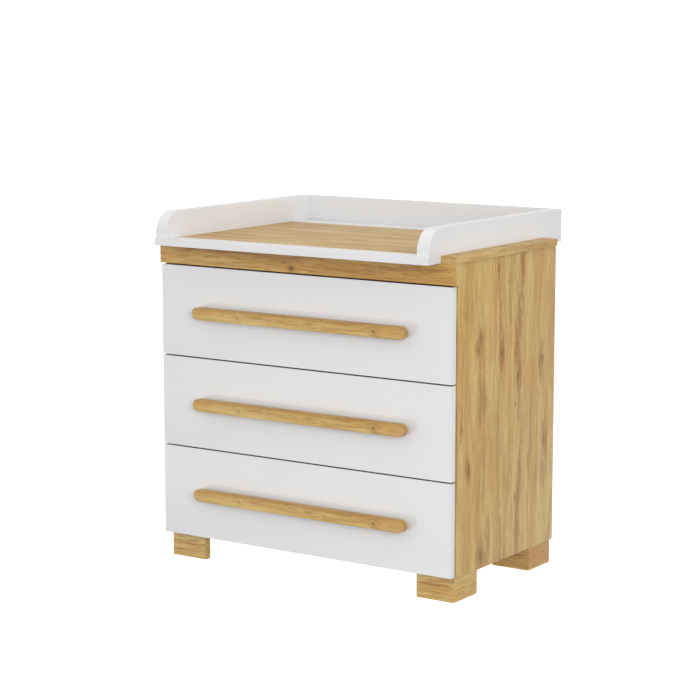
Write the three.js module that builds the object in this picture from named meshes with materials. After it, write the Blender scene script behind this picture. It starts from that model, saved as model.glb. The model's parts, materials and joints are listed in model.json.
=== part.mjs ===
// A chest of three drawers with a lift-off changing tray, in millimetres.
// +Z is up, the drawers face -Y, and the origin lies on the floor under the middle of the bounding box.
import * as THREE from "three";

// ---------------------------------------------------------------- driving dimensions

// The chest
const topWidth = 800;          // left to right, over the oak top
const topDepth = 447;          // front to back, over the oak top
const totalHeight = 760;       // floor to the upper face of the oak top
const board = 16;              // melamine-faced chipboard used all over the chest
const sideInset = 5;           // how far the top stands out over each side panel
const backThickness = 3;       // hardboard back
const backDrop = 1;            // upper edge of the back below the underside of the oak top
const railHeight = 60;         // rear rail under the top
const apronHeight = 46.5;      // oak strip between the top and the first drawer
const seam = 0.2;              // joint line between two boards that are screwed together

// The feet
const footHeight = 57;
const footBoard = 18;
const footWidth = 96;          // along the front
const footDepth = 98;          // along the side
const footSetIn = 7;           // in from the outer face of the side panel
const footSetBack = 4;         // back from the front edge of the side panel

// The drawers
const drawerCount = 3;
const drawerGap = 3;           // between two fronts, and between the first front and the apron
const frontLift = 3;           // lower edge of the last front above the bottom of the carcass
const frontReveal = 2;         // side panel edge that shows beside a front
const bumperGap = 3;           // behind a closed front
const boxBoard = 12;           // drawer box sides and back
const boxLift = 25;            // drawer box above the lower edge of its front
const boxHeadroom = 34.5;      // drawer box below the upper edge of its front
const boxRearSpace = 17.8;     // between a closed drawer box and the rear rail
const boxBottom = 3;           // hardboard drawer bottom
const slideHeight = 35;
const slideSteel = 1.5;
const slideWidth = 12;         // one slide, over both of its members
const slidePlay = 0.5;         // between a slide and the board beside it
const memberPlay = 2.5;        // ball track between the two members

// The handles
const handleSetIn = 105.5;     // end of a bar in from the end of its front
const handleHeight = 28;
const handleThickness = 18;
const handleStandOff = 8;      // finger gap between the bar and the front
const postRadius = 6;
const postSetIn = 95.5;        // axis of a post in from the end of its bar

// The changing tray
const traySideMargin = 33;     // oak top left free beside a centred tray, on each side
const trayWall = 30;           // thickness of the raised sides
const trayRearWall = 12;       // thickness of the raised back
const trayWallHeight = 60;     // above the oak top
const trayFrontReach = 54.5;   // in front of the oak top
const trayRearReach = 88.5;    // behind the oak top
const trayWallSetBack = 5;     // wall end behind the front edge of the plank
const trayCornerRadius = 50;   // rounded front end of each side wall
const trayFit = 1;             // between the planks and the edges of the oak top
const trayShift = -5;          // the tray sits this far off the middle

// ---------------------------------------------------------------- places worked out from them

const trayWidth = topWidth - 2 * traySideMargin;
const trayDepth = trayFrontReach + topDepth + trayRearReach;

// The top's front edge; the tray reaches furthest both ways, so it centres the whole object.
const topFrontY = trayFrontReach - trayDepth / 2;
const topBackY = topFrontY + topDepth;
const topUnderZ = totalHeight - board;

const carcassWidth = topWidth - 2 * sideInset;
const carcassFrontY = topFrontY + board;
const sideInnerX = carcassWidth / 2 - board;
const rearRailFrontY = topBackY - board;

const frontWidth = carcassWidth - 2 * frontReveal;
const frontsBottomZ = footHeight + frontLift;
const frontsTopZ = topUnderZ - apronHeight - drawerGap;
const frontPitch = (frontsTopZ - frontsBottomZ + drawerGap) / drawerCount;
const frontHeight = frontPitch - drawerGap;
const frontBackY = carcassFrontY - bumperGap;
const frontFaceY = frontBackY - board;

const boxOuterX = sideInnerX - slideWidth - 2 * slidePlay;
const boxFrontY = frontBackY + seam;
const boxBackY = rearRailFrontY - boxRearSpace;
const boxHeight = frontHeight - boxLift - boxHeadroom;

// The slides run the whole depth of the box, and each member's flanges stop short of the other's web.
const slideLength = boxBackY - boxFrontY;
const memberReach = slideWidth - slideSteel - memberPlay;

const handleLength = frontWidth - 2 * handleSetIn;
const postPitch = handleLength - 2 * postSetIn;

const trayFrontY = topFrontY - trayFrontReach;
const trayBackY = trayFrontY + trayDepth;
const trayWallFrontY = trayFrontY + trayWallSetBack;
const trayWallBottomZ = totalHeight + seam;

// ---------------------------------------------------------------- finishes

const finish = (color, roughness, metalness = 0) => () =>
  new THREE.MeshStandardMaterial({ color, roughness, metalness });

const oak = finish(0xc29a63, 0.6);
const whiteBoard = finish(0xeeeeed, 0.5);
const drawerLining = finish(0xe6e4df, 0.6);
const hardboard = finish(0xd9d4ca, 0.75);
const steel = finish(0xb8bbbd, 0.35, 0.9);

// ---------------------------------------------------------------- building helpers

const changingTable = new THREE.Group();

function addPiece(name, geometry, makeMaterial) {
  const mesh = new THREE.Mesh(geometry, makeMaterial());
  mesh.name = name;
  changingTable.add(mesh);
  return mesh;
}

// A flat board between two corners.
function addBoard(name, makeMaterial, [x0, x1], [y0, y1], [z0, z1]) {
  const mesh = addPiece(name, new THREE.BoxGeometry(x1 - x0, y1 - y0, z1 - z0), makeMaterial);
  mesh.position.set((x0 + x1) / 2, (y0 + y1) / 2, (z0 + z1) / 2);
  return mesh;
}

// The same span on the left (side = -1) or on the right (side = 1) of the middle, low end first.
function mirrored(side, inner, outer) {
  return side < 0 ? [-outer, -inner] : [inner, outer];
}

const sides = [[-1, "left"], [1, "right"]];

// ---------------------------------------------------------------- carcass

function addCarcass() {
  addBoard("top_panel", oak, [-topWidth / 2, topWidth / 2], [topFrontY, topBackY], [topUnderZ, totalHeight]);
  addBoard(
    "front_apron", oak,
    [-topWidth / 2, topWidth / 2],
    [topFrontY, carcassFrontY - seam],
    [topUnderZ - apronHeight, topUnderZ - seam],
  );
  for (const [side, word] of sides) {
    addBoard(
      `side_panel_${word}`, oak,
      mirrored(side, sideInnerX, carcassWidth / 2),
      [carcassFrontY, topBackY],
      [footHeight, topUnderZ - seam],
    );
  }
  addBoard(
    "bottom_panel", whiteBoard,
    [-sideInnerX + seam, sideInnerX - seam],
    [carcassFrontY, topBackY],
    [footHeight, footHeight + board],
  );
  addBoard(
    "rear_rail", whiteBoard,
    [-sideInnerX + seam, sideInnerX - seam],
    [rearRailFrontY, topBackY],
    [topUnderZ - railHeight, topUnderZ - seam],
  );
  addBoard(
    "back_panel", hardboard,
    [-carcassWidth / 2, carcassWidth / 2],
    [topBackY + seam, topBackY + seam + backThickness],
    [footHeight, topUnderZ - backDrop],
  );
}

// ---------------------------------------------------------------- feet

// Each foot is two boards that meet at the outer corner: a face along X and a cheek behind it along Y.
function addFoot(word, side, faceY) {
  const outerX = carcassWidth / 2 - footSetIn;
  const height = [0, footHeight - seam];
  addBoard(
    `foot_${word}_face`, oak,
    mirrored(side, outerX - footWidth, outerX),
    [faceY, faceY + footBoard],
    height,
  );
  addBoard(
    `foot_${word}_cheek`, oak,
    mirrored(side, outerX - footBoard, outerX),
    [faceY + footBoard + seam, faceY + footDepth],
    height,
  );
}

function addFeet() {
  for (const [side, word] of sides) {
    addFoot(`front_${word}`, side, carcassFrontY + footSetBack);
    addFoot(`rear_${word}`, side, topBackY + seam + backThickness - footDepth);
  }
}

// ---------------------------------------------------------------- drawer slides

// A steel channel with its web at webX and its two flanges reaching inward or outward along X.
function addChannel(name, webX, reach, height, centreZ) {
  const half = height / 2;
  const web = Math.sign(reach) * slideSteel;
  const outline = new THREE.Shape([
    new THREE.Vector2(0, -half),
    new THREE.Vector2(reach, -half),
    new THREE.Vector2(reach, -half + slideSteel),
    new THREE.Vector2(web, -half + slideSteel),
    new THREE.Vector2(web, half - slideSteel),
    new THREE.Vector2(reach, half - slideSteel),
    new THREE.Vector2(reach, half),
    new THREE.Vector2(0, half),
  ]);
  const geometry = new THREE.ExtrudeGeometry(outline, { depth: slideLength, bevelEnabled: false, steps: 1 });
  // The outline's second axis becomes +Z and the extrusion runs towards -Y.
  geometry.rotateX(Math.PI / 2);
  const mesh = addPiece(name, geometry, steel);
  mesh.position.set(webX, boxBackY, centreZ);
}

function addSlides(drawer, boxBottomZ) {
  const centreZ = boxBottomZ + boxHeight / 2;
  const innerHeight = slideHeight - 2 * slideSteel - 2 * memberPlay;
  for (const [side, word] of sides) {
    const panelX = side * (sideInnerX - slidePlay);
    const boxX = side * (boxOuterX + slidePlay);
    addChannel(`drawer_${drawer}_slide_outer_${word}`, panelX, -side * memberReach, slideHeight, centreZ);
    addChannel(`drawer_${drawer}_slide_inner_${word}`, boxX, side * memberReach, innerHeight, centreZ);
  }
}

// ---------------------------------------------------------------- handles

// A bar with round ends, cut from board: a stadium outline across the front, extruded along Y.
function addHandle(drawer, centreZ) {
  const radius = handleHeight / 2;
  const straight = handleLength / 2 - radius;
  const outline = new THREE.Shape();
  outline.moveTo(-straight, -radius);
  outline.lineTo(straight, -radius);
  outline.absarc(straight, 0, radius, -Math.PI / 2, Math.PI / 2, false);
  outline.lineTo(-straight, radius);
  outline.absarc(-straight, 0, radius, Math.PI / 2, (3 * Math.PI) / 2, false);
  const arcSegments = 12;
  const geometry = new THREE.ExtrudeGeometry(outline, {
    depth: handleThickness, bevelEnabled: false, steps: 1, curveSegments: arcSegments,
  });
  geometry.rotateX(Math.PI / 2);
  const bar = addPiece(`drawer_${drawer}_handle`, geometry, oak);
  bar.position.set(0, frontFaceY - handleStandOff, centreZ);

  const postSides = 16;
  for (const [side, word] of sides) {
    const post = addPiece(
      `drawer_${drawer}_handle_post_${word}`,
      new THREE.CylinderGeometry(postRadius, postRadius, handleStandOff - 2 * seam, postSides),
      steel,
    );
    post.position.set((side * postPitch) / 2, frontFaceY - handleStandOff / 2, centreZ);
  }
}

// ---------------------------------------------------------------- drawers

// Drawer 1 is the highest.
function addDrawer(drawer) {
  const bottomZ = frontsTopZ - frontHeight - (drawer - 1) * frontPitch;
  const boxBottomZ = bottomZ + boxLift;
  const boxTopZ = boxBottomZ + boxHeight;
  addBoard(
    `drawer_${drawer}_front`, whiteBoard,
    [-frontWidth / 2, frontWidth / 2],
    [frontFaceY, frontBackY],
    [bottomZ, bottomZ + frontHeight],
  );
  for (const [side, word] of sides) {
    addBoard(
      `drawer_${drawer}_side_${word}`, drawerLining,
      mirrored(side, boxOuterX - boxBoard, boxOuterX),
      [boxFrontY, boxBackY],
      [boxBottomZ, boxTopZ],
    );
  }
  addBoard(
    `drawer_${drawer}_back`, drawerLining,
    [-boxOuterX + boxBoard + seam, boxOuterX - boxBoard - seam],
    [boxBackY - boxBoard, boxBackY],
    [boxBottomZ, boxTopZ],
  );
  addBoard(
    `drawer_${drawer}_bottom`, hardboard,
    [-boxOuterX, boxOuterX],
    [boxFrontY, boxBackY],
    [boxBottomZ - seam - boxBottom, boxBottomZ - seam],
  );
  addSlides(drawer, boxBottomZ);
  addHandle(drawer, bottomZ + frontHeight / 2);
}

// ---------------------------------------------------------------- changing tray

// A raised side: a long low board whose upper front corner is rounded.
function addTrayWall(word, x0) {
  const length = trayBackY - trayWallFrontY;
  const height = trayWallHeight - seam;
  const radius = Math.min(trayCornerRadius, height);
  const outline = new THREE.Shape();
  outline.moveTo(0, 0);
  outline.lineTo(length, 0);
  outline.lineTo(length, height);
  outline.lineTo(radius, height);
  outline.absarc(radius, height - radius, radius, Math.PI / 2, Math.PI, false);
  const arcSegments = 14;
  const geometry = new THREE.ExtrudeGeometry(outline, {
    depth: trayWall, bevelEnabled: false, steps: 1, curveSegments: arcSegments,
  });
  // The outline's first axis becomes +Y, its second +Z, and the thickness runs along +X.
  geometry.rotateX(Math.PI / 2);
  geometry.rotateZ(Math.PI / 2);
  const wall = addPiece(`tray_wall_${word}`, geometry, whiteBoard);
  wall.position.set(x0, trayWallFrontY, trayWallBottomZ);
}

function addTray() {
  const leftX = trayShift - trayWidth / 2;
  const rightX = trayShift + trayWidth / 2;
  addTrayWall("left", leftX);
  addTrayWall("right", rightX - trayWall);
  addBoard(
    "tray_wall_rear", whiteBoard,
    [leftX + trayWall + seam, rightX - trayWall - seam],
    [trayBackY - trayRearWall, trayBackY],
    [trayWallBottomZ, totalHeight + trayWallHeight],
  );
  addBoard(
    "tray_plank_front", whiteBoard,
    [leftX, rightX],
    [trayFrontY, topFrontY - trayFit],
    [topUnderZ, totalHeight],
  );
  addBoard(
    "tray_plank_rear", whiteBoard,
    [leftX, rightX],
    [topBackY + trayFit, trayBackY],
    [topUnderZ, totalHeight],
  );
}

// ---------------------------------------------------------------- assembly

addCarcass();
addFeet();
for (let drawer = 1; drawer <= drawerCount; drawer += 1) {
  addDrawer(drawer);
}
addTray();

export default changingTable;
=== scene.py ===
# %% [markdown]
# # A changing table, dressed for its picture
#
# The chest is made of flat boards: oak-look melamine for the carcass, feet and handles, white melamine
# for the drawer fronts and for the tray that lies on the top. The frame gives every board its place and
# its size, so this script only has to give each one soft edges and a true finish.

# %% Load the frame
import json
import math

import bpy
import numpy as np
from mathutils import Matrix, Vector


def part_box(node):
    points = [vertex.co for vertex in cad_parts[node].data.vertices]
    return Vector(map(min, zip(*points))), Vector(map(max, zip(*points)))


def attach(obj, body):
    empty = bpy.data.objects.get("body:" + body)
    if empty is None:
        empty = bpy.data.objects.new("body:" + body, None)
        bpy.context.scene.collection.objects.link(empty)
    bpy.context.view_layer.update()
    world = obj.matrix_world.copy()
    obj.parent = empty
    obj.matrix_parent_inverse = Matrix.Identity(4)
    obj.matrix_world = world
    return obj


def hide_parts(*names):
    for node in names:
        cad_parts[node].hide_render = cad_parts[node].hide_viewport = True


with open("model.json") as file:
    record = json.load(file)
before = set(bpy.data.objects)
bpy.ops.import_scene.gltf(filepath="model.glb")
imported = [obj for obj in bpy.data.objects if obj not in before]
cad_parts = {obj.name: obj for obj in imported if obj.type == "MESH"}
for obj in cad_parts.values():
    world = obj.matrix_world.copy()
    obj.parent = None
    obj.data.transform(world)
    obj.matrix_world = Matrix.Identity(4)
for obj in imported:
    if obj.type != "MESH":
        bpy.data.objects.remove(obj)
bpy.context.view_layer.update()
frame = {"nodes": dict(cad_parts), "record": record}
MM = 0.001
scene = bpy.context.scene

# %% [markdown]
# ## Camera
#
# The chest is seen from its right front, from a little above and from far away, so its upright edges
# stay almost parallel. A long lens at nearly five metres gives that calm, catalogue-like perspective.
# A short lens close by would show the same faces, but would spread the corners apart.

# %% Place the camera
camera_data = bpy.data.cameras.new("camera")
camera_data.lens = 109.91
camera_data.sensor_width = 36.0
camera_data.clip_end = 1000.0
camera = bpy.data.objects.new("camera", camera_data)
scene.collection.objects.link(camera)
turn_right = math.radians(33.86)
look_down = math.radians(8.93)
camera.location = (2.71023, -4.08667, 1.26561)
camera.rotation_euler = (math.pi / 2 - look_down, 0.0, turn_right)
scene.camera = camera
print("camera stands", round(camera.location.length, 2), "m from the middle of the floor")

# %% [markdown]
# ## Floor and light
#
# The chest stands in a white studio, on a table that glows white and throws no light of its own back at
# it. Most of the light is an even white dome, so the shadows are faint. A large soft panel on the right,
# on the camera's side, lifts the fronts, the right side and the inside of the tray alike. A weak low sun
# shines up from the front left, through the milky table, and draws the thin shadow that lies above each
# handle and past its right end. A small panel overhead does little more than clean up the oak top.

# %% Light the studio
scene.view_settings.view_transform = "Standard"

SKY_GLOW = 0.90
HORIZON_GLOW = 1.05
GROUND_GLOW = 0.16
BELOW_HORIZON = (-0.20, -0.03)
ABOVE_HORIZON = (0.02, 0.08)
FLOOR_GLOW = 1.0
FLOOR_HALF_WIDTH = 400.0
OVERHEAD_WATTS = 5.0
OVERHEAD_PLACE = (0.0, 0.35, 3.2)
OVERHEAD_AIM = (0.0, 0.05, 0.7)
FRONT_WATTS = 148.0
FRONT_PLACE = (4.2, -4.2, 1.8)
FRONT_AIM = (0.0, 0.0, 0.5)
LOW_SUN_STRENGTH = 0.30
LOW_SUN_WIDTH = math.radians(9.0)
LOW_SUN_TILT = math.radians(107.0)
LOW_SUN_TURN = math.radians(-38.0)

world = bpy.data.worlds.new("studio")
world.use_nodes = True
backdrop = world.node_tree.nodes["Background"]
gaze = world.node_tree.nodes.new("ShaderNodeTexCoord")
height = world.node_tree.nodes.new("ShaderNodeSeparateXYZ")
world.node_tree.links.new(gaze.outputs["Generated"], height.inputs[0])


def glow_step(heights, low, high):
    """The sky's glow, eased from low to high between two heights of the gaze."""
    step = world.node_tree.nodes.new("ShaderNodeMapRange")
    step.interpolation_type = "SMOOTHSTEP"
    for socket, number in zip(("From Min", "From Max", "To Min", "To Max"), (*heights, low, high)):
        step.inputs[socket].default_value = number
    world.node_tree.links.new(height.outputs["Z"], step.inputs["Value"])
    return step.outputs[0]


fainter = world.node_tree.nodes.new("ShaderNodeMath")
fainter.operation = "MINIMUM"
world.node_tree.links.new(glow_step(BELOW_HORIZON, GROUND_GLOW, HORIZON_GLOW), fainter.inputs[0])
world.node_tree.links.new(glow_step(ABOVE_HORIZON, HORIZON_GLOW, SKY_GLOW), fainter.inputs[1])
world.node_tree.links.new(fainter.outputs[0], backdrop.inputs["Strength"])
backdrop.inputs["Color"].default_value = (1.0, 1.0, 1.0, 1.0)
scene.world = world


def soft_panel(name, place, aim, width, height, watts):
    """A flat rectangular lamp at place that faces the point aim."""
    lamp = bpy.data.lights.new(name, "AREA")
    lamp.shape = "RECTANGLE"
    lamp.size = width
    lamp.size_y = height
    lamp.energy = watts
    panel = bpy.data.objects.new(name, lamp)
    direction = np.array(aim, float) - np.array(place, float)
    flat = math.hypot(direction[0], direction[1])
    panel.location = place
    panel.rotation_euler = (math.atan2(flat, -direction[2]), 0.0, math.atan2(-direction[0], direction[1]))
    scene.collection.objects.link(panel)


soft_panel("overhead_panel", OVERHEAD_PLACE, OVERHEAD_AIM, 3.0, 2.0, OVERHEAD_WATTS)
soft_panel("front_panel", FRONT_PLACE, FRONT_AIM, 2.4, 2.4, FRONT_WATTS)

low_sun_data = bpy.data.lights.new("low_sun", "SUN")
low_sun_data.energy = LOW_SUN_STRENGTH
low_sun_data.angle = LOW_SUN_WIDTH
low_sun = bpy.data.objects.new("low_sun", low_sun_data)
low_sun.rotation_euler = (LOW_SUN_TILT, 0.0, LOW_SUN_TURN)
scene.collection.objects.link(low_sun)


def plain_floor(half_width):
    """A flat square on the ground: four corners, each minus or plus the half width across and along."""
    side = np.array([-half_width, half_width])
    across, along = np.meshgrid(side, side)
    corners = np.stack([across.ravel(), along.ravel(), np.zeros(4)], axis=1)
    mesh = bpy.data.meshes.new("floor")
    mesh.from_pydata(corners.tolist(), [], [[0, 1, 3, 2]])
    floor = bpy.data.objects.new("floor", mesh)
    scene.collection.objects.link(floor)
    return floor


floor = plain_floor(FLOOR_HALF_WIDTH)
floor.visible_diffuse = False
floor.visible_shadow = False
floor_finish = bpy.data.materials.new("lit_floor")
floor_finish.use_nodes = True
floor_shader = floor_finish.node_tree.nodes["Principled BSDF"]
floor_shader.inputs["Base Color"].default_value = (0.5, 0.5, 0.5, 1.0)
floor_shader.inputs["Roughness"].default_value = 0.9
floor_shader.inputs["Emission Color"].default_value = (1.0, 1.0, 1.0, 1.0)
floor_shader.inputs["Emission Strength"].default_value = FLOOR_GLOW
floor.data.materials.append(floor_finish)
lamps = [piece for piece in scene.objects if piece.type == "LIGHT"]
print("studio has", len(lamps), "lamps and a glowing sky")

# %% [markdown]
# ## A small kit for finishes
#
# Every finish here is built from the same few moves: measure where a point lies, ask a noise for a
# number, bend it through a range, and mix colours with it. Writing those moves down once as methods
# keeps each finish short enough to read as a recipe.


# %% Make the finish kit
class Finish:
    """A material in the making. Values may be numbers, tuples or the outputs of other nodes."""

    def __init__(self, name, roughness):
        self.material = bpy.data.materials.new(name)
        self.material.use_nodes = True
        self.tree = self.material.node_tree
        self.shader = self.tree.nodes["Principled BSDF"]
        self.shader.inputs["Roughness"].default_value = roughness

    def node(self, kind, **settings):
        made = self.tree.nodes.new("ShaderNode" + kind)
        for setting, value in settings.items():
            setattr(made, setting, value)
        return made

    def feed(self, socket, value):
        if isinstance(value, bpy.types.NodeSocket):
            self.tree.links.new(value, socket)
        elif isinstance(value, tuple) and socket.type == "RGBA":
            socket.default_value = (*value, 1.0)
        else:
            socket.default_value = value

    def maths(self, work, *values):
        made = self.node("Math", operation=work)
        for place, value in enumerate(values):
            self.feed(made.inputs[place], value)
        return made.outputs[0]

    def vector(self, work, *values):
        made = self.node("VectorMath", operation=work)
        for place, value in enumerate(values):
            self.feed(made.inputs[place], value)
        return made.outputs[0]

    def length(self, value):
        made = self.node("VectorMath", operation="LENGTH")
        self.feed(made.inputs[0], value)
        return made.outputs["Value"]

    def place(self, origin):
        """Object coordinates counted from the point origin."""
        coordinates = self.node("TexCoord")
        mapping = self.node("Mapping")
        self.feed(mapping.inputs["Vector"], coordinates.outputs["Object"])
        mapping.inputs["Location"].default_value = [-value for value in origin]
        return mapping.outputs[0]

    def noise(self, point, detail=2.0, rough=0.5):
        made = self.node("TexNoise", noise_dimensions="3D")
        self.feed(made.inputs["Vector"], point)
        made.inputs["Scale"].default_value = 1.0
        made.inputs["Detail"].default_value = detail
        made.inputs["Roughness"].default_value = rough
        return made.outputs["Fac"]

    def ease(self, value, start, end, low=0.0, high=1.0):
        """low below start, high above end, and a smooth step between."""
        made = self.node("MapRange", interpolation_type="SMOOTHSTEP")
        self.feed(made.inputs["Value"], value)
        for socket, number in zip(("From Min", "From Max", "To Min", "To Max"), (start, end, low, high)):
            self.feed(made.inputs[socket], number)
        return made.outputs[0]

    def mix(self, share, first, second, blend="MIX"):
        made = self.node("Mix", data_type="RGBA", blend_type=blend)
        self.feed(made.inputs["Factor"], share)
        self.feed(made.inputs[6], first)
        self.feed(made.inputs[7], second)
        return made.outputs[2]

    def bump(self, height, depth):
        """Lets a height from 0 to 1 tilt the surface as a relief of that depth in metres."""
        made = self.node("Bump")
        made.inputs["Distance"].default_value = depth
        self.feed(made.inputs["Height"], height)
        self.tree.links.new(made.outputs[0], self.shader.inputs["Normal"])

    def colour(self, value):
        self.feed(self.shader.inputs["Base Color"], value)

    def roughness(self, value):
        self.feed(self.shader.inputs["Roughness"], value)


print("the finish kit is ready")

# %% [markdown]
# ## Oak-look melamine
#
# The board wears a printed sheet of real oak: straight pale grain, reddish streaks that run for a hand's
# length, small dark knots and a few short cracks. A scanned sheet of wood would be the quick way. Here the
# grain is grown instead. Each point is described by how far it lies along the grain and how far across
# it, counted round the edge of the board, so the lines carry on from a face on to its edge. Noise that
# is stretched along the grain then draws the streaks, and each knot pushes the grain aside around it.

# %% Grow the oak
OAK_LIGHT = (0.640, 0.455, 0.160)
OAK_MIDDLE = (0.500, 0.300, 0.072)
OAK_DARK = (0.300, 0.155, 0.030)
OAK_PINK = (0.530, 0.290, 0.082)
OAK_RED = (0.290, 0.120, 0.020)
OAK_KNOT = (0.150, 0.062, 0.018)
PORE_DEPTH = 0.06 * MM
AXES = "XYZ"


def grain_point(finish, origin, along):
    """A point's distance along the grain and across it, as x and y of a vector in metres."""
    parts = finish.node("SeparateXYZ")
    finish.feed(parts.inputs[0], finish.place(origin))
    first, second = [parts.outputs[axis] for axis in AXES if axis != along]
    point = finish.node("CombineXYZ")
    finish.feed(point.inputs[0], parts.outputs[along])
    finish.feed(point.inputs[1], finish.maths("ADD", first, second))
    return point.outputs[0]


def grain_noise(finish, point, along, across, seed, detail=2.0, rough=0.5):
    """Noise with that many waves to the metre along the grain and across it."""
    stretched = finish.vector("MULTIPLY_ADD", point, (along, across, 0.0), (0.0, 0.0, seed))
    return finish.noise(stretched, detail, rough)


def mark_distance(finish, point, height, depth, length, width):
    """Distance from a mark's middle, 1 on an oval of that length and width, all in millimetres."""
    away = finish.vector("SUBTRACT", point, (height * MM, depth * MM, 0.0))
    scaled = finish.vector("MULTIPLY", away, (2 / (length * MM), 2 / (width * MM), 0.0))
    return away, finish.length(scaled)


def push_aside(finish, point, knots):
    """Moves the grain aside around each knot: by its offset times a bell that fades with distance."""
    moved = point
    for height, depth, length, width in knots:
        away, distance = mark_distance(finish, point, height, depth, 3.2 * length, 4.5 * width)
        bell = finish.maths("EXPONENT", finish.maths("MULTIPLY", finish.maths("POWER", distance, 2.0), -1.0))
        push = finish.vector("MULTIPLY", away, (0.0, -0.75, 0.0))
        scaled = finish.node("VectorMath", operation="SCALE")
        finish.feed(scaled.inputs[0], push)
        finish.feed(scaled.inputs["Scale"], bell)
        moved = finish.vector("ADD", moved, scaled.outputs[0])
    return moved


def strongest_mark(finish, point, marks, ragged, edge, threads):
    """The strongest of several oval marks, each fading to a ragged edge and split into threads."""
    strongest = 0.0
    for height, depth, length, width, strength in marks:
        distance = mark_distance(finish, point, height, depth, length, width)[1]
        uneven = finish.maths("ADD", distance, ragged)
        mark = finish.ease(uneven, 1.0 + edge, 1.0 - edge, 0.0, strength)
        strongest = mark if strongest == 0.0 else finish.maths("MAXIMUM", strongest, mark)
    return finish.maths("MULTIPLY", strongest, threads)


def wandering(finish, plain, knots, seed):
    """The point moved across the grain: pushed aside by the knots, plus a slow wander and a fine tremble."""
    wander = grain_noise(finish, plain, 3.0, 8.0, seed, 2.0)
    tremble = grain_noise(finish, plain, 22.0, 60.0, seed + 3.7, 2.0)
    drift = finish.maths("MULTIPLY_ADD", wander, 0.030, finish.maths("MULTIPLY", tremble, 0.0045))
    sideways = finish.node("CombineXYZ")
    finish.feed(sideways.inputs[1], finish.maths("SUBTRACT", drift, 0.017))
    return finish.vector("ADD", push_aside(finish, plain, [mark[:4] for mark in knots]), sideways.outputs[0])


def grain_tone(finish, point, seed, figure, lines, fibres, flecks):
    """Pale oak, darkened by broad bands, by fine lines and by red flecks. Figure says how boldly."""
    broad = grain_noise(finish, point, 2.5, 30.0, seed + 11.0, 3.0, 0.6)
    bands = grain_noise(finish, point, 7.0, 110.0, seed + 23.0, 4.0, 0.65)
    warmth = grain_noise(finish, point, 5.0, 42.0, seed + 71.0, 3.0, 0.6)
    tone = finish.mix(finish.ease(broad, 0.36, 0.64), OAK_LIGHT, OAK_MIDDLE)
    tone = finish.mix(finish.ease(warmth, 0.50, 0.34, 0.0, 0.8), tone, OAK_PINK)
    tone = finish.mix(finish.ease(bands, 0.48, 0.76, 0.0, 0.55 * figure), tone, OAK_DARK)
    tone = finish.mix(finish.ease(lines, 0.48, 0.76, 0.0, 0.55 * figure), tone, OAK_DARK)
    tone = finish.mix(finish.ease(lines, 0.46, 0.28, 0.0, 0.5), tone, OAK_LIGHT)
    red_bands = finish.ease(bands, 0.38, 0.62, 0.1, 0.6 * figure)
    red = finish.maths("MULTIPLY", finish.ease(warmth, 0.54, 0.72), red_bands)
    tone = finish.mix(red, tone, OAK_RED)
    tone = finish.mix(finish.ease(flecks, 0.58, 0.76, 0.0, 0.5 * figure), tone, OAK_RED)
    return finish.mix(finish.ease(fibres, 0.55, 0.80, 0.0, 0.35), tone, OAK_DARK)


def hair_tone(finish, point, seed, figure, tone):
    """Long hair-thin lines over the grain, some red and some pale."""
    hairs = grain_noise(finish, point, 7.0, 230.0, seed + 97.0, 3.0, 0.7)
    tone = finish.mix(finish.ease(hairs, 0.57, 0.64, 0.0, 0.45 * figure), tone, OAK_RED)
    return finish.mix(finish.ease(hairs, 0.42, 0.36, 0.0, 0.45), tone, OAK_LIGHT)


def mark_tone(finish, plain, point, knots, streaks, lines, flecks, tone):
    """The streaks and knots over the grain. A knot has a dark heart inside a wider red halo."""
    torn = finish.maths("MULTIPLY", finish.maths("SUBTRACT", 0.47, flecks), 4.0)
    threads = finish.ease(lines, 0.34, 0.60, 0.45, 1.0)
    if streaks:
        tone = finish.mix(strongest_mark(finish, point, streaks, torn, 0.75, threads), tone, OAK_RED)
    if knots:
        halos = [(h, d, 1.7 * length, 1.8 * width, 0.4 * power) for h, d, length, width, power in knots]
        tone = finish.mix(strongest_mark(finish, point, halos, torn, 0.8, threads), tone, OAK_RED)
        tone = finish.mix(strongest_mark(finish, plain, knots, torn, 0.6, 1.0), tone, OAK_KNOT)
    return tone


def oak(name, along, origin, seed, knots=(), streaks=(), tint=(1.0, 1.0, 1.0), figure=1.0):
    """Oak-look melamine with its grain along one axis and its marks counted from origin. The tint colours
    the whole sheet, and figure says how bold its grain is."""
    finish = Finish(name, 0.45)
    finish.shader.inputs["Specular IOR Level"].default_value = 0.35
    plain = grain_point(finish, origin, along)
    point = wandering(finish, plain, knots, seed)
    lines = grain_noise(finish, point, 16.0, 380.0, seed + 37.0, 3.0, 0.65)
    fibres = grain_noise(finish, point, 60.0, 1100.0, seed + 53.0, 2.0, 0.6)
    flecks = grain_noise(finish, point, 34.0, 170.0, seed + 83.0, 3.0, 0.65)
    pores = finish.ease(grain_noise(finish, point, 45.0, 2400.0, seed + 91.0, 1.0), 0.66, 0.74)

    tone = grain_tone(finish, point, seed, figure, lines, fibres, flecks)
    tone = hair_tone(finish, point, seed, figure, tone)
    tone = mark_tone(finish, plain, point, knots, streaks, lines, flecks, tone)
    tone = finish.mix(finish.maths("MULTIPLY", pores, 0.5), tone, OAK_KNOT)
    finish.colour(finish.mix(1.0, tone, tint, "MULTIPLY"))
    finish.roughness(finish.ease(lines, 0.3, 0.7, 0.40, 0.50))
    finish.bump(finish.maths("SUBTRACT", finish.maths("MULTIPLY", fibres, 0.4), pores), PORE_DEPTH)
    return finish.material


print("oak tones are set")
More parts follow.
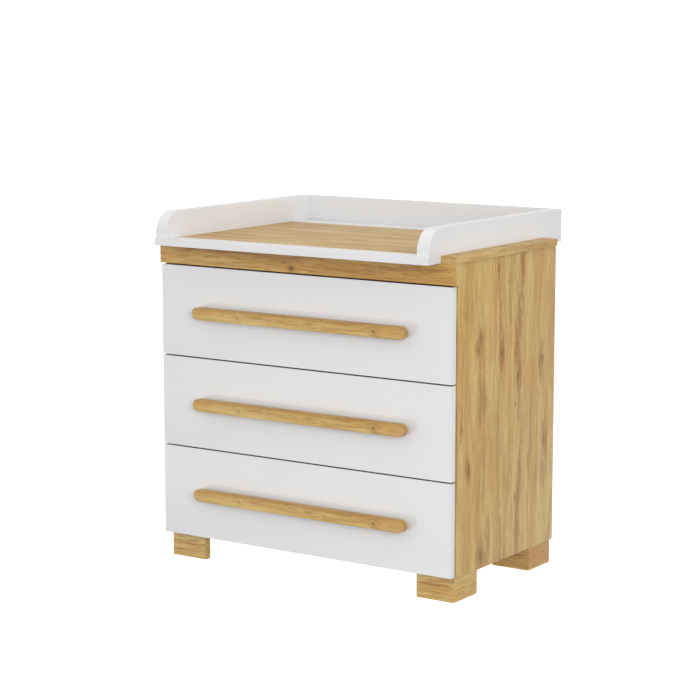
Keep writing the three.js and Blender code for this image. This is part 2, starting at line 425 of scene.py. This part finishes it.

# %% [markdown]
# ## White melamine, lining, hardboard and steel
#
# White melamine is a pressed resin sheet: dead even in colour, with a very fine pearl-like relief that
# keeps its gloss soft. The drawer boxes wear a cheaper foil on chipboard, slightly warmer. The drawer
# bottoms and the back are thin hardboard, painted on the good side. The slides are zinc-plated steel.
# None of these needs a picture: a faint noise in colour, roughness and relief is what they really have.
# The upper and lower edges of the drawer fronts are painted grey: painted shade for the dark line that parts
# two fronts.


# %% Mix the plain finishes
def cloudy(finish, point, scale, detail=2.0):
    """A soft even noise with that many waves to the metre in every direction."""
    return finish.noise(finish.vector("MULTIPLY", point, (scale, scale, scale)), detail, 0.5)


def pressed_sheet(name, colour, pearl=0.00003, roughness=(0.36, 0.46)):
    """An even painted or pressed sheet. Pearl is the depth of its fine relief, in metres."""
    finish = Finish(name, 0.42)
    point = finish.place((0.0, 0.0, 0.0))
    shade = tuple(0.965 * value for value in colour)
    finish.colour(finish.mix(cloudy(finish, point, 9.0), shade, colour))
    grain = cloudy(finish, point, 900.0, 1.0)
    finish.roughness(finish.ease(grain, 0.3, 0.7, *roughness))
    finish.bump(grain, pearl)
    return finish.material


def zinc():
    """Rolled steel with a thin coat of zinc: a faint spangle under lines drawn along the slide."""
    finish = Finish("zinc_steel", 0.35)
    finish.shader.inputs["Metallic"].default_value = 1.0
    point = finish.place((0.0, 0.0, 0.0))
    drawn = finish.noise(finish.vector("MULTIPLY", point, (900.0, 12.0, 900.0)), 2.0)
    spangle = cloudy(finish, point, 160.0)
    tone = finish.mix(spangle, (0.46, 0.47, 0.48), (0.60, 0.61, 0.62))
    finish.colour(finish.mix(finish.ease(drawn, 0.3, 0.7, 0.0, 0.4), tone, (0.40, 0.41, 0.43)))
    finish.roughness(finish.ease(drawn, 0.3, 0.7, 0.26, 0.44))
    finish.bump(drawn, 0.00002)
    return finish.material


WHITE = pressed_sheet("white_melamine", (0.735, 0.735, 0.738))
LINING = pressed_sheet("drawer_foil", (0.690, 0.682, 0.662), 0.00005, (0.45, 0.6))
HARDBOARD = pressed_sheet("painted_hardboard", (0.640, 0.620, 0.585), 0.00012, (0.6, 0.75))
# Painted shade: a grey for the upper and lower edges of the drawer fronts, which darkens the gap between two
# fronts.
GAP_SHADE_EDGING = pressed_sheet("gap_shade_grey_edging", (0.360, 0.350, 0.340))
STEEL = zinc()
print("plain finishes are mixed")

# %% [markdown]
# ## A board with soft edges
#
# A real board never has a knife edge: its glued-on edging is rounded by a fraction of a millimetre, and
# that round is what catches the light. Bevelling a cube would do, but here the board is worked out as a
# surface of two parameters. One runs round the outline, which is a rectangle with an arc at each corner.
# The other runs over the edge: a quarter round, a straight wall, a quarter round. Each point then has an
# exact normal too, so the faces stay perfectly flat and only the edges shine.


# %% Work out the board surface
def rounded_outline(low, high, radii, steps):
    """Arc centres, radii and outward directions round a rectangle, anticlockwise from its low corner.
    A point of the outline is its arc's centre plus the radius times its direction."""
    corners = (
        (low[0], low[1], 1, 1),
        (high[0], low[1], -1, 1),
        (high[0], high[1], -1, -1),
        (low[0], high[1], 1, -1),
    )
    centres, reach, directions = [], [], []
    for quarter, ((u, v, inward_u, inward_v), radius, count) in enumerate(zip(corners, radii, steps)):
        start = math.pi * (1.0 + 0.5 * quarter)
        turn = np.linspace(start, start + 0.5 * math.pi, count + 1)
        centre = (u + inward_u * radius, v + inward_v * radius)
        centres.append(np.tile(centre, (count + 1, 1)))
        reach.append(np.full(count + 1, radius))
        directions.append(np.stack([np.cos(turn), np.sin(turn)], axis=1))
    return np.concatenate(centres), np.concatenate(reach), np.concatenate(directions)


def board_surface(low, high, axis, radii, edge, steps, edge_steps=4):
    """Points and normals: arc centre plus (radius - inset) times direction, level by level over the edge."""
    u, v = [(1, 2), (2, 0), (0, 1)][axis]
    centres, reach, directions = rounded_outline((low[u], low[v]), (high[u], high[v]), radii, steps)
    upper = np.linspace(0.5 * math.pi, 0.0, edge_steps + 1)
    tilt = np.concatenate([upper, -upper[::-1]])
    middle = 0.5 * (low[axis] + high[axis])
    half = 0.5 * (high[axis] - low[axis]) - edge
    level = np.where(np.arange(tilt.size) <= edge_steps, middle + half, middle - half) + edge * np.sin(tilt)
    inset = edge * (1.0 - np.cos(tilt))
    points = np.empty((tilt.size, reach.size, 3))
    normals = np.empty_like(points)
    flat = centres[None] + (reach[None] - inset[:, None])[..., None] * directions[None]
    points[..., u], points[..., v] = flat[..., 0], flat[..., 1]
    points[..., axis] = level[:, None]
    normals[..., u] = np.cos(tilt)[:, None] * directions[None, :, 0]
    normals[..., v] = np.cos(tilt)[:, None] * directions[None, :, 1]
    normals[..., axis] = np.sin(tilt)[:, None]
    return points, normals


def ring_faces(levels, around):
    """Quads between neighbouring levels of a closed surface, and one flat face at each end."""
    index = np.arange(levels * around).reshape(levels, around)
    here, below = index[:-1], index[1:]
    quads = np.stack([here, below, np.roll(below, -1, 1), np.roll(here, -1, 1)], axis=-1).reshape(-1, 4)
    return quads.tolist() + [index[0].tolist(), index[-1][::-1].tolist()]


def add_mesh(name, points, normals, faces, finishes):
    """A smooth mesh object with its exact normals, at the origin."""
    mesh = bpy.data.meshes.new(name)
    mesh.from_pydata(points.reshape(-1, 3).tolist(), [], faces)
    mesh.polygons.foreach_set("use_smooth", np.ones(len(mesh.polygons), bool))
    mesh.normals_split_custom_set_from_vertices(normals.reshape(-1, 3))
    for finish in finishes:
        mesh.materials.append(finish)
    piece = bpy.data.objects.new(name, mesh)
    scene.collection.objects.link(piece)
    return piece


BODY_OF = {node: body for body, nodes in frame["record"]["behaviour"]["bodies"].items() for node in nodes}
SLOT_OF = {part["node"]: part["material_slot"] for part in frame["record"]["subparts"]}
EDGE = 0.35 * MM
CORNER = 0.35 * MM
HARDBOARD_EDGE = 0.3 * MM
SEAM = 0.2 * MM
ROUND_STEPS = 4
NOWHERE = (0, 0, 0)


def board(
    node, finishes, end_axis=None, edge=EDGE, radii=(CORNER,) * 4, steps=(ROUND_STEPS,) * 4,
    below=NOWHERE, above=NOWHERE,
):
    """Replaces a node's plain solid with a soft-edged board. Faces that look along end_axis take the second
    finish. Where a board is screwed tight to its neighbour, below and above let it close the seam there."""
    low, high = [np.array(corner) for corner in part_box(node)]
    low, high = low - SEAM * np.array(below), high + SEAM * np.array(above)
    thin_axis = int(np.argmin(high - low))
    points, normals = board_surface(low, high, thin_axis, radii, edge, steps)
    faces = ring_faces(*points.shape[:2])
    piece = add_mesh(f"{node}_board", points, normals, faces, finishes)
    if end_axis is not None:
        directions = np.zeros(len(faces) * 3)
        piece.data.polygons.foreach_get("normal", directions)
        ends = np.abs(directions.reshape(-1, 3)[:, AXES.index(end_axis)]) > 0.7
        piece.data.polygons.foreach_set("material_index", ends.astype(int))
    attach(piece, BODY_OF[node])
    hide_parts(node)
    return piece


print("a board has edges rounded by", EDGE * 1000, "mm")

# %% [markdown]
# ## The oak carcass
#
# Two sides stand under a wide top, with a narrow apron below its front edge. Each board has its own
# sheet of oak, though both sides carry the same knots and streaks. On the sides the grain stands upright.
# On the top, the apron and the front boards of the feet it lies from left to right, and the edging on the
# ends of the top runs from front to back. A board's marks are listed in millimetres as a carpenter would
# note them: place along the grain, place across it, length, width, and last how dark the mark is, up to 1.
# On a side the first is the height above the floor, and the second the distance behind the front edge of the
# top.

# %% Lay out the marks of the oak
SIDE_KNOTS = [
    (525, 205, 20, 6, 0.8), (685, 234, 7, 3, 0.6), (566, 112, 18, 7, 0.5), (548, 106, 12, 5, 0.5),
    (466, 282, 11, 6, 0.7), (492, 390, 14, 7, 0.8), (289, 66, 18, 5, 0.8), (381, 35, 10, 4, 0.5),
    (201, 277, 8, 4, 0.5), (82, 121, 16, 8, 0.5), (719, 189, 8, 4, 0.5), (611, 292, 8, 4, 0.5),
    (298, 402, 22, 6, 0.5), (404, 270, 8, 5, 0.5), (627, 50, 14, 3, 0.5),
]
SIDE_STREAKS = [
    (700, 292, 170, 14, 0.9), (600, 282, 130, 16, 0.9), (547, 271, 100, 17, 0.9), (466, 282, 110, 16, 0.9),
    (398, 283, 80, 10, 0.7), (248, 292, 110, 14, 0.85), (180, 284, 120, 15, 1.0), (105, 284, 110, 16, 1.0),
    (723, 191, 80, 9, 0.75), (601, 198, 140, 10, 0.75), (529, 204, 100, 13, 0.95), (370, 190, 150, 10, 0.6),
    (95, 204, 120, 10, 0.9), (563, 112, 80, 26, 0.7), (429, 123, 90, 36, 0.6), (320, 130, 170, 12, 0.4),
    (500, 389, 90, 12, 0.8), (452, 388, 60, 9, 0.7), (298, 402, 110, 16, 0.85), (230, 392, 70, 12, 0.6),
    (289, 68, 60, 13, 0.7), (381, 36, 60, 10, 0.7), (441, 72, 70, 9, 0.6), (85, 122, 70, 24, 0.75),
    (110, 147, 100, 10, 0.6), (640, 240, 160, 8, 0.4), (200, 240, 200, 9, 0.4),
]
# On the top, the three marks from -300 to -200 along the grain are red streaks that darken the tray floor
# next to its left wall: painted shade there. The other marks are grain streaks.
TOP_STREAKS_AND_WALL_SHADE = [
    (80, 160, 160, 16, 0.45), (-150, 230, 220, 14, 0.5), (-260, 60, 200, 22, 0.55),
    (-300, 120, 160, 20, 0.6), (-200, 110, 240, 12, 0.5), (150, 90, 260, 10, 0.4),
]
APRON_KNOTS = [(-30, 707, 12, 7, 1.0)]
APRON_STREAKS = [
    (-180, 734, 260, 7, 0.8), (-60, 726, 120, 14, 0.7), (150, 715, 200, 7, 0.7), (280, 728, 200, 7, 0.8),
]
print(len(SIDE_KNOTS), "knots and", len(SIDE_STREAKS), "streaks on a side")

# %% [markdown]
# ## Cutting the carcass
#
# The carcass boards are all plain rectangles, so each one is the soft-edged board of its own box. A real
# chest is screwed up tight, with no gap to see, so the sides and the apron reach up over the thin joint
# line until they touch the top. The two sides are cut in one loop, with a sheet of oak for each.

# %% Cut the carcass
# Painted sheen: the top's tint pales and cools its oak, which is the floor of the tray, as a glint of the
# white walls would.
TOP_SHEEN_TINT = (0.97, 1.0, 1.15)
APRON_TINT = (0.98, 0.90, 0.74)
BOLD_FIGURE = 1.4
top_low, top_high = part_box("top_panel")
oak_top = oak(
    "oak_top", "X", (0.0, top_low.y, top_high.z), 4.0, streaks=TOP_STREAKS_AND_WALL_SHADE,
    tint=TOP_SHEEN_TINT, figure=BOLD_FIGURE,
)
oak_top_ends = oak("oak_top_ends", "Y", (0.0, 0.0, 0.0), 9.0)
oak_apron = oak(
    "oak_apron", "X", (0.0, top_low.y, 0.0), 14.0, APRON_KNOTS, APRON_STREAKS,
    tint=APRON_TINT, figure=1.5,
)
oak_apron_ends = oak("oak_apron_ends", "Z", (0.0, 0.0, 0.0), 17.0)
board("top_panel", [oak_top, oak_top_ends], "X")
board("front_apron", [oak_apron, oak_apron_ends], "X", above=(0, 0, 1))
for word, seed, outer in (("left", 21.0, 0), ("right", 27.0, 1)):
    outer_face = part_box(f"side_panel_{word}")[outer].x
    oak_side = oak(f"oak_side_{word}", "Z", (outer_face, top_low.y, 0.0), seed, SIDE_KNOTS, SIDE_STREAKS)
    board(f"side_panel_{word}", [oak_side], above=(0, 0, 1))
board("bottom_panel", [WHITE])
board("rear_rail", [WHITE])
board("back_panel", [HARDBOARD], edge=HARDBOARD_EDGE)
print("the top ends at", round(top_high.z, 4), "m")

# %% [markdown]
# ## The feet
#
# Each foot is two short boards that meet at the outer corner, so it looks like a solid block from
# outside. The front board carries its grain from left to right, the cheek from front to back.

# %% Cut the feet
FOOT_CRACKS = [(48, 35, 80, 3.5, 1.0), (62, 44, 50, 3, 0.8), (30, 18, 60, 3, 0.6)]
PALE_TINT = (1.05, 1.07, 1.10)
DEEP_TINT = (0.95, 0.87, 0.83)
for end, tint, later in (("front", PALE_TINT, 0.0), ("rear", DEEP_TINT, 1.9)):
    for word, seed in (("left", 31.0 + later), ("right", 35.0 + later)):
        foot = f"foot_{end}_{word}"
        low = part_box(f"{foot}_face")[0]
        corner = (low.x, low.y, 0.0)
        oak_face = oak(
            f"oak_{foot}_face", "X", corner, seed, streaks=FOOT_CRACKS, tint=tint, figure=BOLD_FIGURE,
        )
        oak_cheek = oak(f"oak_{foot}_cheek", "Y", corner, seed + 0.8, tint=tint)
        board(f"{foot}_face", [oak_face, oak_cheek], "X")
        board(f"{foot}_cheek", [oak_cheek])
print("the front feet are cut from paler board than the rear ones")

# %% [markdown]
# ## Drawers and handles
#
# Three equal drawers hang one above the other. A handle is a bar with round ends, cut from oak board and
# held off the front by two spacers. All three bars come from the same pattern, so their oak is centred
# on each bar and shows the same marks. The round end is two arcs of almost half the bar's height each:
# a hair of straight edge stays between them, so that no two points of the outline fall together.

# %% Cut the drawers
HANDLE_KNOTS = [(-155, 0, 7, 5, 0.5), (209, -1, 8, 6, 0.6)]
# The first mark, a darker red band along the whole upper edge of each bar, is painted shade where the bar's
# top faces away from the light. The other marks are grain streaks.
HANDLE_STREAKS_AND_TOP_SHADE = [
    (0, 12, 640, 9, 0.5), (-60, 2, 160, 4, 0.5), (120, -4, 140, 4, 0.45), (209, -1, 40, 10, 0.5),
]
HANDLE_EDGE = 1.2 * MM
HANDLE_STEPS = 20
ROUND_SHARE = 0.4999
for drawer in (1, 2, 3):
    # The upper and lower edges of each front take the grey of the painted gap shade.
    board(f"drawer_{drawer}_front", [WHITE, GAP_SHADE_EDGING], "Z")
    for word in ("left", "right"):
        board(f"drawer_{drawer}_side_{word}", [LINING])
    board(f"drawer_{drawer}_back", [LINING])
    board(f"drawer_{drawer}_bottom", [HARDBOARD], edge=HARDBOARD_EDGE)
    low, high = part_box(f"drawer_{drawer}_handle")
    centre = (0.0, low.y, 0.5 * (low.z + high.z))
    oak_handle = oak(f"oak_handle_{drawer}", "X", centre, 44.0, HANDLE_KNOTS, HANDLE_STREAKS_AND_TOP_SHADE)
    half_height = ROUND_SHARE * (high.z - low.z)
    board(
        f"drawer_{drawer}_handle", [oak_handle],
        edge=HANDLE_EDGE, radii=(half_height,) * 4, steps=(HANDLE_STEPS,) * 4,
    )
print("handles end in a round of", round(half_height / MM, 1), "mm")

# %% [markdown]
# ## The changing tray
#
# The tray is five white boards: a plank in front of the oak top and one behind it, two low side walls
# and a rear wall. The front upper corner of each side wall is cut to a generous arc, so that nothing
# sharp meets a parent's arm. The arc is one corner of the same rounded outline as before.

# %% Cut the tray
TRAY_ARC = 50.0 * MM
ARC_STEPS = 28
ARC_LIMIT = 0.99
for word in ("left", "right"):
    low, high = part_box(f"tray_wall_{word}")
    arc = min(TRAY_ARC, ARC_LIMIT * (high.z - low.z))
    board(
        f"tray_wall_{word}", [WHITE], radii=(CORNER, CORNER, CORNER, arc),
        steps=(ROUND_STEPS, ROUND_STEPS, ROUND_STEPS, ARC_STEPS), below=(0, 0, 1),
    )
board("tray_wall_rear", [WHITE], below=(1, 0, 1), above=(1, 0, 0))
board("tray_plank_front", [WHITE])
board("tray_plank_rear", [WHITE])
print("the side walls of the tray have a front arc of", round(arc / MM, 1), "mm")

# %% [markdown]
# ## Steel parts
#
# The slides and the spacers behind the handles already have their true shape in the frame, so they only
# take the zinc finish.

# %% Plate the steel
steel_nodes = [node for node in frame["nodes"] if SLOT_OF[node] == "slide_steel"]
for node in steel_nodes:
    piece = frame["nodes"][node]
    piece.data.materials.clear()
    piece.data.materials.append(STEEL)
print(len(steel_nodes), "steel pieces are plated")
